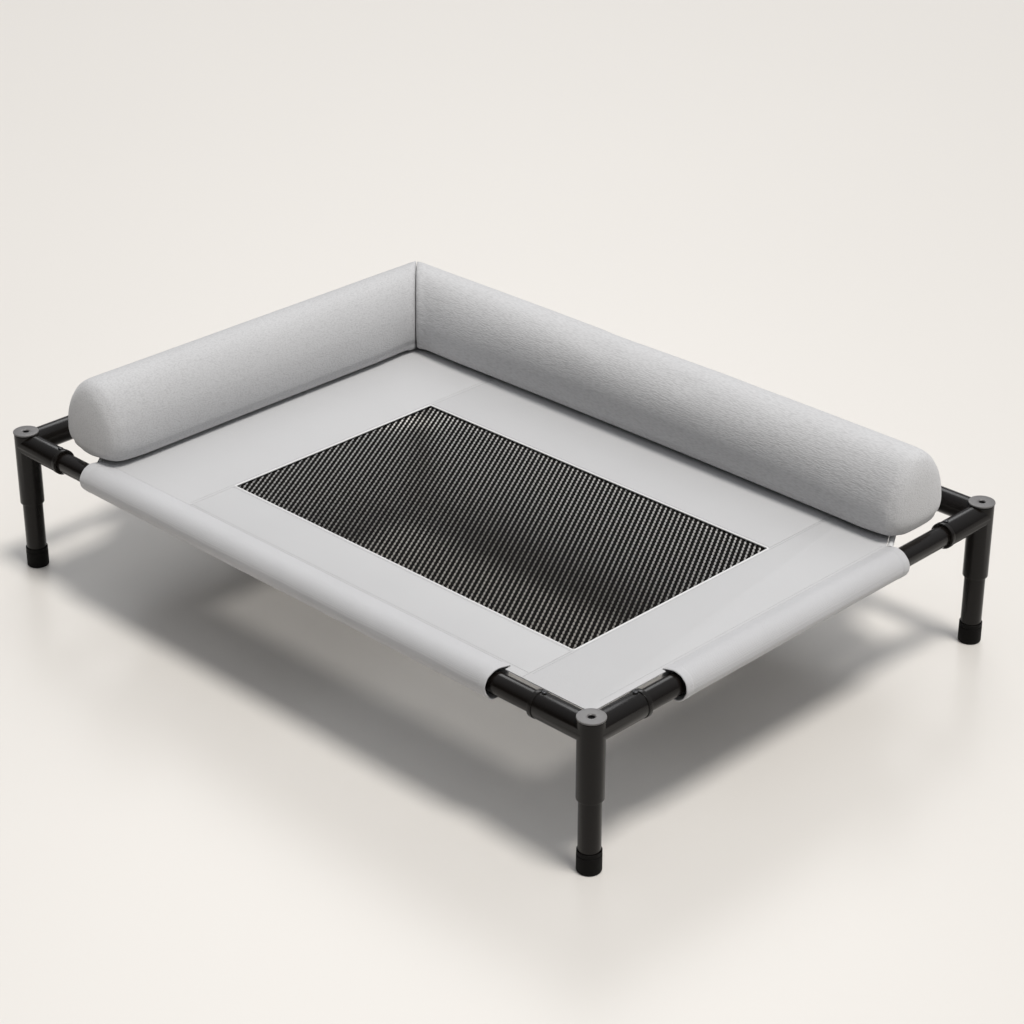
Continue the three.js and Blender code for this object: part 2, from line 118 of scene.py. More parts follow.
class Nodes:
    """A material's node tree, with short calls to add and join nodes."""

    def __init__(self, name):
        self.material = bpy.data.materials.new(name)
        self.material.use_nodes = True
        self.tree = self.material.node_tree
        self.bsdf = self.tree.nodes["Principled BSDF"]
        self.place = self.add("ShaderNodeTexCoord").outputs["Object"]

    def add(self, kind, links=None, **settings):
        node = self.tree.nodes.new(kind)
        for key, value in settings.items():
            setattr(node, key, value)
        for socket, source in (links or {}).items():
            self.plug(node.inputs[socket], source)
        return node

    def plug(self, socket, source):
        """Joins the socket to another node's output, or sets its own number or colour."""
        if hasattr(source, "is_output"):
            self.tree.links.new(source, socket)
        else:
            is_colour = socket.type == "RGBA" and len(source) == 3
            socket.default_value = (*source, 1.0) if is_colour else source

    def stretched(self, scale):
        """Object coordinates in metres, multiplied."""
        return self.add("ShaderNodeMapping", {"Vector": self.place, "Scale": scale}).outputs["Vector"]

    def noise(self, size, detail=2.0, vector=None):
        links = {"Vector": vector or self.place, "Scale": 1 / size, "Detail": detail}
        return self.add("ShaderNodeTexNoise", links).outputs["Fac"]

    def cells(self, vector, randomness):
        """Soft round cells, one unit apart."""
        links = {"Vector": vector, "Scale": 1.0, "Randomness": randomness}
        return self.add("ShaderNodeTexVoronoi", links, feature="SMOOTH_F1").outputs["Distance"]

    def bands(self, size, direction):
        """Stripes of the given pitch. Blender's wave texture has 20 radians to a unit of scale."""
        links = {"Vector": self.place, "Scale": math.tau / 20 / size, "Detail": 0.0}
        kind = {"wave_type": "BANDS", "bands_direction": direction}
        return self.add("ShaderNodeTexWave", links, **kind).outputs["Fac"]

    def math(self, operation, a, b=0.0, clamp=False):
        node = self.add("ShaderNodeMath", {0: a, 1: b}, operation=operation)
        node.use_clamp = clamp
        return node.outputs[0]

    def remap(self, value, low, high, to_low=0.0, to_high=1.0):
        links = {"Value": value, "From Min": low, "From Max": high, "To Min": to_low, "To Max": to_high}
        return self.add("ShaderNodeMapRange", links).outputs["Result"]

    def mix(self, factor, a, b):
        node = self.add("ShaderNodeMix", data_type="RGBA")
        for index, source in ((0, factor), (6, a), (7, b)):  # the colour mix's own sockets
            self.plug(node.inputs[index], source)
        return node.outputs[2]

    def shade(self, colour, factor, amount):
        """The colour, lighter and darker by a share of amount as factor goes from 1 to 0."""
        dark = tuple(c * (1 - amount) for c in colour)
        light = tuple(min(1.0, c * (1 + amount)) for c in colour)
        return self.mix(factor, dark, light)

    def bump(self, height, depth, strength=1.0, normal=None):
        links = {"Height": height, "Distance": depth, "Strength": strength}
        if normal is not None:
            links["Normal"] = normal
        return self.add("ShaderNodeBump", links).outputs["Normal"]

    def finish(self, colour, roughness, normal=None, **constants):
        for socket, source in (("Base Color", colour), ("Roughness", roughness), ("Normal", normal)):
            if source is not None:
                self.plug(self.bsdf.inputs[socket], source)
        for key, value in constants.items():
            self.bsdf.inputs[key.replace("_", " ")].default_value = value
        return self.material


def hard_finish(name, colour, grain, depth, roughness, spread, worn, shine):
    """Moulded or coated black: fine grain, uneven gloss, and edges rubbed a little lighter."""
    n = Nodes(name)
    fine, broad = n.noise(grain, 3.0), n.noise(40 * MM, 2.0)
    edge = n.remap(n.add("ShaderNodeNewGeometry").outputs["Pointiness"], 0.52, 0.60)
    base = n.mix(n.math("MULTIPLY", edge, n.noise(4 * MM)), colour, worn)
    tinted = n.mix(n.remap(broad, 0.3, 0.7, 0.0, 0.35), base, tuple(1.35 * c for c in colour))
    gloss = n.remap(n.math("ADD", fine, broad), 0.6, 1.4, roughness - spread, roughness + spread)
    return n.finish(tinted, gloss, n.bump(fine, depth), Specular_IOR_Level=shine)


def woven_finish(name, colour, thread, depth, roughness=0.9, sheen=0.15, tone=0.05):
    """Plain woven cloth: threads over and under, painted lighter on the crowns as a highlight and darker in
    the dips as shade, with a slow tone change.
    """
    n = Nodes(name)
    warp, weft = n.bands(thread, "X"), n.bands(thread, "Y")
    under = n.bands(2 * thread, "DIAGONAL")
    weave = n.math("ADD", n.math("MULTIPLY", warp, weft), n.math("MULTIPLY", under, 0.3))
    fuzz, slow = n.noise(thread * 0.7, 3.0), n.noise(90 * MM, 3.0)
    # painted highlight and shade: the weave's crowns are painted lighter and its dips darker, mixed with fuzz
    light = n.math("ADD", n.math("MULTIPLY", weave, 0.35), n.math("MULTIPLY", fuzz, 0.5))
    both = n.math("ADD", n.math("MULTIPLY", light, 0.6), n.math("MULTIPLY", slow, 0.5), clamp=True)
    normal = n.bump(fuzz, depth * 0.5, 0.6, n.bump(weave, depth))
    # paint carries the painted crown highlight and dip shade, and the slow tone change
    paint = n.shade(colour, both, tone)
    return n.finish(paint, n.remap(fuzz, 0.2, 0.8, roughness - 0.06, roughness + 0.06), normal,
                    Sheen_Weight=sheen, Sheen_Roughness=0.5, Specular_IOR_Level=0.25)


def ribbed_finish(name, colour, axis, along, across, depth):
    """Soft pebbled cloth whose grains are longer along the roll, so that its sides look ribbed. Its grain
    tops are painted lighter as a highlight and the gaps between grains darker as shade.
    """
    n = Nodes(name)
    scale = [1 / across] * 3
    scale[axis] = 1 / along
    grains = n.cells(n.stretched(scale), 0.8)
    fuzz, slow = n.noise(0.9 * MM, 3.0), n.noise(120 * MM, 2.0)
    height = n.math("SUBTRACT", 1.0, grains)
    pits = n.remap(height, 0.25, 0.75)
    # painted shade: grain tops lighter and the gaps between grains darker, mixed with a slow tone change
    tone = n.math("ADD", n.math("MULTIPLY", pits, 0.75), n.math("MULTIPLY", slow, 0.25))
    paint = n.shade(colour, tone, 0.12)
    normal = n.bump(fuzz, 0.12 * MM, 0.5, n.bump(pits, depth))
    return n.finish(paint, n.remap(fuzz, 0.2, 0.8, 0.88, 1.0), normal,
                    Sheen_Weight=0.3, Sheen_Roughness=0.4, Specular_IOR_Level=0.2)


def thread_finish(name, colour, twist, roughness, sheen):
    """Round yarn with a fine twist and some fuzz, painted lighter on the twist's ridges and darker in its
    grooves as shade.
    """
    n = Nodes(name)
    turns = n.bands(twist, "DIAGONAL")
    fuzz = n.noise(0.8 * MM, 2.0)
    # painted shade: lighter on the twist's ridges and darker in its grooves, mixed with fuzz
    paint = n.shade(colour, n.math("MULTIPLY", n.math("ADD", turns, fuzz), 0.5), 0.25)
    return n.finish(paint, n.remap(fuzz, 0.2, 0.8, roughness - 0.08, roughness + 0.08),
                    n.bump(turns, 0.15 * MM, 0.6), Sheen_Weight=sheen, Specular_IOR_Level=0.04)


def metal_finish(name, colour, roughness):
    """Zinc or blackened steel with fine turning marks and some stains."""
    n = Nodes(name)
    marks = n.noise(0.5 * MM, 4.0, n.stretched((1.0, 1.0, 6.0)))
    stain = n.noise(6 * MM, 3.0)
    paint = n.shade(colour, stain, 0.2)
    return n.finish(paint, n.remap(marks, 0.3, 0.7, roughness - 0.1, roughness + 0.1),
                    n.bump(marks, 0.05 * MM, 0.5), Metallic=1.0)


CLOTH = (0.52, 0.52, 0.525)
# painted highlight: the bound and rolled hems are deck cloth painted lighter to stand for the light their
# folded edges catch
HEM_CLOTH_PAINTED_HIGHLIGHT = (0.70, 0.70, 0.70)
LOOKS = {
    "connector": hard_finish("moulded_nylon", (0.0045, 0.0034, 0.0027), 0.5 * MM, 0.02 * MM, 0.24, 0.06,
                             (0.03, 0.028, 0.026), 0.24),
    "cap": hard_finish("cap_disc", (0.12, 0.116, 0.115), 0.6 * MM, 0.04 * MM, 0.36, 0.08,
                       (0.20, 0.20, 0.20), 0.4),
    "tube": hard_finish("powder_coat", (0.0045, 0.0033, 0.0026), 0.35 * MM, 0.02 * MM, 0.22, 0.05,
                        (0.025, 0.022, 0.02), 0.24),
    "rubber": hard_finish("foot_rubber", (0.003, 0.0026, 0.0022), 0.8 * MM, 0.06 * MM, 0.6, 0.1,
                          (0.02, 0.02, 0.02), 0.12),
    "screw": metal_finish("black_steel", (0.10, 0.10, 0.105), 0.38),
    "insert": metal_finish("zinc", (0.55, 0.55, 0.56), 0.35),
    "cloth": woven_finish("deck_cloth", CLOTH, 0.55 * MM, 0.10 * MM),
    "sleeve": woven_finish("sleeve_cloth", (0.54, 0.54, 0.55), 0.9 * MM, 0.22 * MM, sheen=0.2, tone=0.09),
    # painted highlight: the hem cloth is the deck cloth's weave in a lighter colour
    "hem": woven_finish("hem_cloth_painted_highlight", HEM_CLOTH_PAINTED_HIGHLIGHT, 0.5 * MM, 0.10 * MM),
    "stitch": thread_finish("stitch_thread", (0.46, 0.46, 0.465), 0.5 * MM, 0.8, 0.1),
    "mesh": thread_finish("mesh_yarn", (0.0045, 0.0038, 0.0032), 1.2 * MM, 0.7, 0.0),
    "tape": woven_finish("hook_and_loop", (0.03, 0.03, 0.031), 1.6 * MM, 0.5 * MM, 0.95, 0.3, 0.3),
    "left_bolster": ribbed_finish("left_bolster_cloth", (0.50, 0.50, 0.505), 1, 2.6 * MM, 1.5 * MM, 0.2 * MM),
    "back_bolster": ribbed_finish("back_bolster_cloth", (0.53, 0.53, 0.535), 0, 6.0 * MM, 1.4 * MM, 0.2 * MM),
}

# ---- mesh helpers ----


def raw_object(name, made):
    """An object made of points and faces, in the scene but not yet dressed as a piece."""
    points, faces = made
    mesh = bpy.data.meshes.new(name)
    mesh.from_pydata([tuple(p) for p in points], [], [tuple(int(i) for i in f) for f in faces])
    mesh.validate()
    bm = bmesh.new()
    bm.from_mesh(mesh)
    bmesh.ops.recalc_face_normals(bm, faces=bm.faces)
    bm.to_mesh(mesh)
    bm.free()
    piece = bpy.data.objects.new(name, mesh)
    bpy.context.scene.collection.objects.link(piece)
    return piece


def dress(piece, look, replaced=(), angle=40.0):
    """Gives an object its finish and its place in the object. Edges over angle stay sharp."""
    mesh = piece.data
    mesh.polygons.foreach_set("use_smooth", [True] * len(mesh.polygons))
    mesh.set_sharp_from_angle(angle=math.radians(angle))
    mesh.materials.clear()
    mesh.materials.append(LOOKS[look])
    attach(piece, "root")
    if replaced:
        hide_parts(*replaced)
    return piece


def add_piece(name, made, look, replaced=(), angle=40.0):
    """A shown piece made of points and faces in the shared frame."""
    return dress(raw_object(name, made), look, replaced, angle)


def rounded(profile, radius, steps=4, closed=False):
    """A polyline whose corners are rounded off."""
    points = [Vector(p) for p in profile]
    count, out = len(points), []
    for i, here in enumerate(points):
        if not closed and i in (0, count - 1):
            out.append(here)
            continue
        back, on = points[i - 1] - here, points[(i + 1) % count] - here
        reach = min(radius, back.length * 0.45, on.length * 0.45)
        start, end = here + back.normalized() * reach, here + on.normalized() * reach
        for step in range(steps + 1):
            t = step / steps
            out.append(start * (1 - t) ** 2 + here * 2 * t * (1 - t) + end * t**2)
    return [tuple(p) for p in out]


def lathe(profile, sides=SIDES, closed=True):
    """Points and faces of a profile of (radius, height) turned about Z. An open one meets the axis."""
    points, rings = [], []
    for radius, height in profile:
        if radius < 1e-7:
            rings.append([len(points)])
            points.append((0.0, 0.0, height))
            continue
        rings.append(list(range(len(points), len(points) + sides)))
        for k in range(sides):
            turn = math.tau * k / sides
            points.append((radius * math.cos(turn), radius * math.sin(turn), height))
    faces = []
    pairs = list(zip(rings, rings[1:])) + ([(rings[-1], rings[0])] if closed else [])
    for a, b in pairs:
        for k in range(sides):
            m = (k + 1) % sides
            corner = [a[k % len(a)], a[m % len(a)], b[m % len(b)], b[k % len(b)]]
            faces.append([v for i, v in enumerate(corner) if v not in corner[:i]])
    return points, faces


def ring_faces(rings, sides, closed=False):
    """Faces that join rings of points one after another. Unless closed, both end rings are capped."""
    faces = []
    if not closed:
        faces += [list(range(sides - 1, -1, -1)), [(rings - 1) * sides + k for k in range(sides)]]
    for i in range(rings if closed else rings - 1):
        a, b = i * sides, (i + 1) % rings * sides
        for k in range(sides):
            m = (k + 1) % sides
            faces.append([a + k, a + m, b + m, b + k])
    return faces


def moved(made, matrix):
    return [matrix @ Vector(p) for p in made[0]], made[1]


def joined(*parts):
    """Several sets of points and faces as one."""
    points, faces = [], []
    for some, those in parts:
        faces += [[i + len(points) for i in f] for f in those]
        points += list(some)
    return points, faces


def apply_modifiers(piece):
    depsgraph = bpy.context.evaluated_depsgraph_get()
    mesh = bpy.data.meshes.new_from_object(piece.evaluated_get(depsgraph))
    piece.modifiers.clear()
    piece.data = mesh
    return piece


def combined(base, others, operation):
    """base joined with, or cut by, the other objects, which are removed."""
    for other in others:
        modifier = base.modifiers.new("combine", "BOOLEAN")
        modifier.operation, modifier.solver, modifier.object = operation, "EXACT", other
        apply_modifiers(base)
        bpy.data.objects.remove(other)
    return base


def pointing(direction, at):
    """Places what is built along +Z so that it runs along direction from at."""
    turn = Vector((0, 0, 1)).rotation_difference(Vector(direction)).to_matrix().to_4x4()
    return Matrix.Translation(Vector(at)) @ turn


# ---- corners, legs and rails ----


def tube_profile(bottom, top):
    """A frame tube's wall."""
    corners = [(TUBE_R - TUBE_WALL, bottom), (TUBE_R, bottom), (TUBE_R, top), (TUBE_R - TUBE_WALL, top)]
    return rounded(corners, TUBE_EDGE, 3, closed=True)


def rod_profile(radius, bottom, top):
    return [(0, bottom), (radius, bottom), (radius, top), (0, top)]


def arm_profile():
    """A connector's arm, with a groove and a raised rim at its mouth."""
    groove, lip = SOCKET_ARM - 7 * MM, SOCKET_ARM - 5.6 * MM
    slope, floor, rim = 0.3 * MM, SOCKET_R - 0.5 * MM, SOCKET_R + SOCKET_RIM
    shape = [
        (0, 0), (SOCKET_R, 0), (SOCKET_R, groove), (floor, groove + slope), (floor, lip - slope), (rim, lip),
        (rim, SOCKET_ARM), (0, SOCKET_ARM),
    ]
    return rounded(shape, 0.5 * MM, 2)


def cap_profile():
    """A flat disc with a countersunk hole."""
    shape = [
        (CAP_HOLE, CAP_BOTTOM), (CAP_R, CAP_BOTTOM), (CAP_R, CAP_TOP), (CAP_HOLE + 1.2 * MM, CAP_TOP),
        (CAP_HOLE, CAP_TOP - 0.9 * MM),
    ]
    return rounded(shape, 0.6 * MM, 4, closed=True)


def foot_profile():
    """A rubber cup with a recessed sole and a groove below its lip."""
    groove, depth, upper = FOOT_TOP - FOOT_LIP, FOOT_R - 0.7 * MM, FOOT_R - 0.1 * MM
    inner = TUBE_R + GAP
    shape = [
        (0, 0.6 * MM), (8 * MM, 0.6 * MM), (8.6 * MM, 0), (FOOT_R - 1.2 * MM, 0), (FOOT_R, 1.6 * MM),
        (FOOT_R, groove - 0.6 * MM), (depth, groove - 0.4 * MM), (depth, groove + 0.4 * MM),
        (upper, groove + 0.6 * MM), (upper, FOOT_TOP), (inner, FOOT_TOP), (inner, FOOT_FLOOR),
        (0, FOOT_FLOOR),
    ]
    return rounded(shape, 0.7 * MM, 3)


def screw_profile():
    """A button head with a round recess, and its shank."""
    shape = [
        (0, 0.7 * MM), (1.3 * MM, 0.7 * MM), (1.3 * MM, 1.6 * MM), (2.5 * MM, 1.6 * MM), (3.2 * MM, 0.4 * MM),
        (3.2 * MM, 0), (1.6 * MM, 0), (1.6 * MM, -7 * MM), (0, -7 * MM),
    ]
    return rounded(shape, 0.35 * MM, 2)


def turned_object(name, profile, place, sides=SIDES):
    return raw_object(name, moved(lathe(profile, sides, closed=False), place))


def add_connector(name, side_x, side_y, post):
    """Three-way moulded socket: a post and two arms, each with a rimmed mouth."""
    upright = Matrix.Translation(post)
    post_profile = rounded(rod_profile(SOCKET_R, POST_BOTTOM, CAP_BOTTOM - GAP), SOCKET_EDGE)
    body = turned_object(name, post_profile, upright)
    centre = Vector((post.x, post.y, RAIL_Z))
    arms, bores = [], []
    for direction in ((-side_x, 0, 0), (0, -side_y, 0)):
        place = pointing(direction, centre)
        arms.append(turned_object("arm", arm_profile(), place))
        bores.append(turned_object("bore", rod_profile(SOCKET_BORE, ARM_BORE_START, 2 * SOCKET_ARM), place))
    bolt_head_floor = CAP_BOTTOM - BOLT_HEAD_DEPTH
    bores.append(turned_object("bore", rod_profile(SOCKET_BORE, 0, POST_BORE_TOP), upright))
    bores.append(turned_object("bore", rod_profile(BOLT_HOLE, POST_BORE_TOP - MM, ABOVE_ALL), upright, 24))
    bores.append(turned_object("bore", rod_profile(BOLT_HEAD_HOLE, bolt_head_floor, ABOVE_ALL), upright, 32))
    combined(body, arms, "UNION")
    combined(body, bores, "DIFFERENCE")
    dress(body, "connector", [name.replace("socket", "connector")], 30.0)


def add_corner(name, side_x, side_y):
    """One corner's connector, cap disc, leg, foot and rail screws."""
    post = middle(f"corner_cap_{name}")
    post.z = 0
    at = Matrix.Translation(post)
    add_connector(f"corner_socket_{name}", side_x, side_y, post)
    cap = moved(lathe(cap_profile()), at)
    add_piece(f"cap_disc_{name}", cap, "cap", [f"corner_cap_{name}"], 50.0)
    tube = moved(lathe(tube_profile(*span(f"leg_tube_{name}", 2))), at)
    add_piece(f"leg_{name}", tube, "tube", [f"leg_tube_{name}"])
    foot = moved(lathe(foot_profile(), closed=False), at)
    add_piece(f"foot_{name}", foot, "rubber", [f"foot_cap_{name}"])
    for along in ("long", "short"):
        add_rail_screw(f"rail_screw_{along}_{name}", side_x, side_y, along == "long")


def add_rail_screw(node, side_x, side_y, along_x):
    """Button-head screw that stands on a connector's arm and leans towards the bed's middle."""
    run = Vector((-side_x, 0, 0)) if along_x else Vector((0, -side_y, 0))
    lateral = Vector((-side_x, -side_y, 0)) - run
    up = Vector((0, 0, math.cos(SCREW_LEAN))) + lateral * math.sin(SCREW_LEAN)
    post = middle("corner_cap_front_left")
    corner = Vector((side_x * abs(post.x), side_y * abs(post.y), RAIL_Z))
    at = corner + run * (SOCKET_ARM - SCREW_FROM_MOUTH) + up * (SOCKET_R + GAP)
    made = moved(lathe(screw_profile(), 24, closed=False), pointing(up, at))
    add_piece(node + ".head", made, "screw", [node])


def add_rail(name):
    node = f"{name}_rail"
    along_x = name in ("front", "back")
    length = width(node, 0 if along_x else 1)
    direction = Vector((1, 0, 0) if along_x else (0, 1, 0))
    start = middle(node) - direction * length / 2
    made = moved(lathe(tube_profile(0, length)), pointing(direction, start))
    add_piece(f"{name}_tube", made, "tube", [node])


# ---- cloth of the deck ----

HEM_WIDTH, HEM_STITCH = 11 * MM, 9.6 * MM  # a sleeve's end hem, and its row of stitches
SEAM_INSET, EDGE_INSET = 3 * MM, 4 * MM  # rows of stitches, from the outer seams and from the opening
STITCH_PITCH, STITCH_LENGTH, STITCH_R = 3.6 * MM, 2.7 * MM, 0.28 * MM
TIP_R = 12 * MM
CURL_R, CURL_CLOTH, CURL_TURNS = 4.0 * MM, 1.3 * MM, 1.6
CURL_RISE = 1.6 * MM  # the rolled hem's top above the deck


def waves(u, v, seed, size):
    """A slow, smooth, repeatable height of about 1 either way."""
    total = np.zeros(np.broadcast(u, v).shape)
    for k in range(1, 5):
        a, b = math.sin(seed * 3.1 + k * 1.7), math.cos(seed * 1.3 + k * 2.9)
        total = total + np.sin(math.tau * k * (a * u + b * v) / size + seed * k) / k
    return total / 2.08


def sleeve_section(seam, steps=44):
    """Middle line of a sleeve's cloth across its rail, from the deck's seam over the rail and back.
    u points from the rail to the bed's middle."""
    radius = SLEEVE_R - SLEEVE_CLOTH / 2
    centre = np.array([-SLEEVE_OUTWARD, 0.0])
    join = np.array([seam - GAP, DECK_TOP - RAIL_Z - 1.1 * MM])
    reach = join - centre
    facing, tangent = math.atan2(reach[1], reach[0]), math.acos(radius / np.linalg.norm(reach))
    turns = facing + tangent + (math.tau - 2 * tangent) * np.linspace(0, 1, steps)
    arc = centre + radius * np.stack([np.cos(turns), np.sin(turns)], -1)
    start = join + np.array([0.0, 0.4 * MM])
    end = join - np.array([0.4 * MM, 0.9 * MM])
    lead = np.linspace(start, arc[0], 5)[:-1]
    tail = np.linspace(arc[-1], end, 9)[1:]
    return np.concatenate([lead, arc, tail])


def normals_2d(line):
    along = np.gradient(line, axis=0)
    side = np.stack([along[:, 1], -along[:, 0]], -1)
    return side / np.linalg.norm(side, axis=1, keepdims=True)


def closed_sheet(outer, inner):
    """Points and faces of a thick sheet between two grids of points of the same shape."""
    rows, columns = outer.shape[:2]
    count = rows * columns
    points = np.concatenate([outer.reshape(-1, 3), inner.reshape(-1, 3)])
    faces = []
    for i in range(rows - 1):
        for j in range(columns - 1):
            a, d = i * columns + j, (i + 1) * columns + j
            faces += [[a, a + 1, d + 1, d], [count + d, count + d + 1, count + a + 1, count + a]]
    edge = [*range(columns), *(i * columns + columns - 1 for i in range(1, rows))]
    edge += [(rows - 1) * columns + j for j in range(columns - 2, -1, -1)]
    edge += [i * columns for i in range(rows - 2, 0, -1)]
    for a, b in zip(edge, edge[1:] + edge[:1]):
        faces.append([b, a, count + a, count + b])
    return points, faces


def sleeve_stations(start, end):
    """Places along a sleeve, closest together at its hemmed ends, and how far each is from an end."""
    near = np.array([0, 0.5, 1.2, 2, 3.2, 5, 7, 9, 10.2, 11, 11.8, 13, 16, 20, 26]) * MM
    between = np.arange(start + 34 * MM, end - 30 * MM, 8 * MM)
    stations = np.concatenate([start + near, between, end - near[::-1]])
    return stations, np.minimum(stations - start, end - stations)


def sleeve_bulge(girth, free, stations, from_end, seed):
    """How far the cloth stands off its middle line: slow ripples, and looser ones at each open end."""
    ripple = waves(girth[:, None], stations[None], seed, 0.11) * 0.28 * MM
    mouth = waves(girth[:, None] * 1.6, stations[None] * 0.2, seed + 5, 0.05) * 0.9 * MM
    return free[:, None] * (ripple + mouth * np.exp(-from_end / (9 * MM)))


def sleeve_thickness(from_end):
    """Half the cloth's thickness along the sleeve, and the line that the hem's stitches draw in."""
    hem = np.clip((HEM_WIDTH - from_end) / (1.0 * MM), 0, 1) * 0.45 * MM
    stitch = -0.35 * MM * np.exp(-(((from_end - HEM_STITCH) / (0.7 * MM)) ** 2))
    rim = np.sqrt(np.clip(from_end / (0.6 * MM), 0.15, 1))
    return SLEEVE_CLOTH / 2 + hem, stitch, rim


def add_sleeve(name, inward, seam, seed):
    """A loop of deck cloth round its rail, with a hem at each open end."""
    node, low, high = f"{name}_sleeve", *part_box(f"{name}_sleeve")
    along_x = abs(inward[1]) > 0
    start, end = (low.x, high.x) if along_x else (low.y, high.y)
    rail = middle(f"{name}_rail")
    line = sleeve_section(seam)
    side = normals_2d(line)
    girth = np.concatenate([[0], np.cumsum(np.linalg.norm(np.diff(line, axis=0), axis=1))])
    free = np.sin(np.pi * np.clip(girth / girth[-1], 0, 1)) ** 0.5
    stations, from_end = sleeve_stations(start, end)
    bulge = sleeve_bulge(girth, free, stations, from_end, seed)
    crumple = 1.2 * MM * waves(girth * 1.7, girth * 0.4, seed + 2, 0.09) * free
    ends = np.where(stations < (start + end) / 2, 1.0, -1.0) * np.exp(-from_end / (5 * MM))
    thick, stitch, rim = sleeve_thickness(from_end)

    def surface(sign):
        lift = bulge + sign * (thick + (stitch if sign > 0 else 0)) * rim
        across = line[:, None] + side[:, None] * -lift[..., None]
        run = stations[None] + np.abs(crumple)[:, None] * ends[None]
        out = np.zeros((*lift.shape, 3))
        out[..., 0] = rail.x * (not along_x) + across[..., 0] * inward[0] + run * along_x
        out[..., 1] = rail.y * along_x + across[..., 0] * inward[1] + run * (not along_x)
        out[..., 2] = rail.z + across[..., 1]
        return out

    made = closed_sheet(surface(1), surface(-1))
    piece = add_piece(f"{name}_sleeve_cloth", made, "sleeve", [node], 60.0)
    return piece, (float(girth[-1]), end - start)


def slab(outline):
    """Points and faces of a flat slab with softly rounded top edges, from a plan outline."""
    steps = [(0.3, 0.0), (0.0, 0.25), (0.0, 0.7), (0.1, 0.88), (0.45, 1.0)]
    thick, inset = DECK_TOP - BAND_BOTTOM, 1.3 * MM
    loops = [(offset(outline, inset * across), BAND_BOTTOM + thick * up) for across, up in steps]
    points = [(x, y, z) for loop, z in loops for x, y in loop]
    return points, ring_faces(len(steps), len(outline))


def offset(outline, by):
    """The outline, anticlockwise, moved inwards."""
    out = []
    for i, here in enumerate(outline):
        here, back, on = Vector(here), Vector(outline[i - 1]), Vector(outline[(i + 1) % len(outline)])
        a, b = (here - back).normalized(), (on - here).normalized()
        bisector = Vector((-a.y - b.y, a.x + b.x))
        bisector = bisector / max(bisector.length_squared, 1e-9) * 2
        out.append(tuple(here + bisector * by))
    return out


def area_of(outline):
    total = sum(a[0] * b[1] - b[0] * a[1] for a, b in zip(outline, outline[1:] + outline[:1]))
    return abs(total) / 2


def tip(x, y, radius, steps=10):
    """A quarter circle that rounds off the front right corner at x, y."""
    turns = [-math.pi / 2 + math.pi / 2 * k / steps for k in range(steps + 1)]
    return [(x - radius + radius * math.cos(t), y + radius + radius * math.sin(t)) for t in turns]


BANDS = {
    "left": [
        (-SEAM_X, CUT_Y), (-SEAM_X, -CUT_Y), (CUT_LEFT, -SEAM_Y), (OPEN_X[0] - GAP, -SEAM_Y),
        (OPEN_X[0] - GAP, SEAM_Y), (CUT_LEFT, SEAM_Y),
    ],
    "right": [
        (OPEN_X[1] + GAP, -FLAP_Y), *tip(FLAP_X, -FLAP_Y, TIP_R), (FLAP_X, FLAP_BACK), (SEAM_X, FLAP_BACK),
        (SEAM_X, CUT_Y), (CUT_RIGHT, SEAM_Y), (OPEN_X[1] + GAP, SEAM_Y),
    ],
    "front": [
        (OPEN_X[0], -SEAM_Y), (FLAP_LEFT, -SEAM_Y), (FLAP_LEFT, -FLAP_Y), (OPEN_X[1], -FLAP_Y),
        (OPEN_X[1], OPEN_Y[0]), (OPEN_X[0], OPEN_Y[0]),
    ],
    "back": [(OPEN_X[0], OPEN_Y[1]), (OPEN_X[1], OPEN_Y[1]), (OPEN_X[1], SEAM_Y), (OPEN_X[0], SEAM_Y)],
}


def rod_along(path, radius, sides, closed=False, squash=1.0):
    """Points and faces of a round cord that follows a path."""
    path = [Vector(p) for p in path]
    points, count = [], len(path)
    for i, here in enumerate(path):
        back = path[i - 1] if (i or closed) else here
        on = path[(i + 1) % count] if (i < count - 1 or closed) else here
        along = (on - back).normalized()
        side = along.cross(Vector((0, 0, 1)))
        side = side.normalized() if side.length > 1e-6 else Vector((1, 0, 0))
        up = side.cross(along)
        for k in range(sides):
            t = math.tau * k / sides
            points.append(here + side * radius * math.cos(t) + up * radius * squash * math.sin(t))
    return points, ring_faces(count, sides, closed)


def stitches(lines):
    """Rows of short humped stitches along straight lines."""
    shape = [(-0.5, -0.7), (-0.32, 0.35), (0.0, 0.6), (0.32, 0.35), (0.5, -0.7)]
    parts = []
    for start, end in lines:
        start, end = Vector(start), Vector(end)
        total = (end - start).length
        along = (end - start) / total
        for k in range(int(total / STITCH_PITCH)):
            at = start + along * (k * STITCH_PITCH + STITCH_PITCH / 2)
            path = [at + along * STITCH_LENGTH * s + Vector((0, 0, STITCH_R * h)) for s, h in shape]
            parts.append(rod_along(path, STITCH_R, 6))
    return joined(*parts)


def stitch_rows():
    """The two rows of stitches of each band: along its outer seam, and beside the opening."""
    left, right = -SEAM_X + SEAM_INSET, SEAM_X - SEAM_INSET
    near, far = -SEAM_Y + SEAM_INSET, SEAM_Y - SEAM_INSET
    before, behind = -SEAM_Y + EDGE_INSET, SEAM_Y - EDGE_INSET
    x0, x1 = OPEN_X[0] - EDGE_INSET, OPEN_X[1] + EDGE_INSET
    y0, y1 = OPEN_Y[0] - EDGE_INSET, OPEN_Y[1] + EDGE_INSET
    return {
        "left": [((left, -CUT_Y), (left, CUT_Y)), ((x0, before), (x0, behind))],
        "right": [((right, -SEAM_Y + 14 * MM), (right, CUT_Y)), ((x1, before), (x1, behind))],
        "front": [((OPEN_X[0], near), (OPEN_X[1], near)), ((OPEN_X[0], y0), (OPEN_X[1], y0))],
        "back": [((OPEN_X[0], far), (OPEN_X[1], far)), ((OPEN_X[0], y1), (OPEN_X[1], y1))],
    }


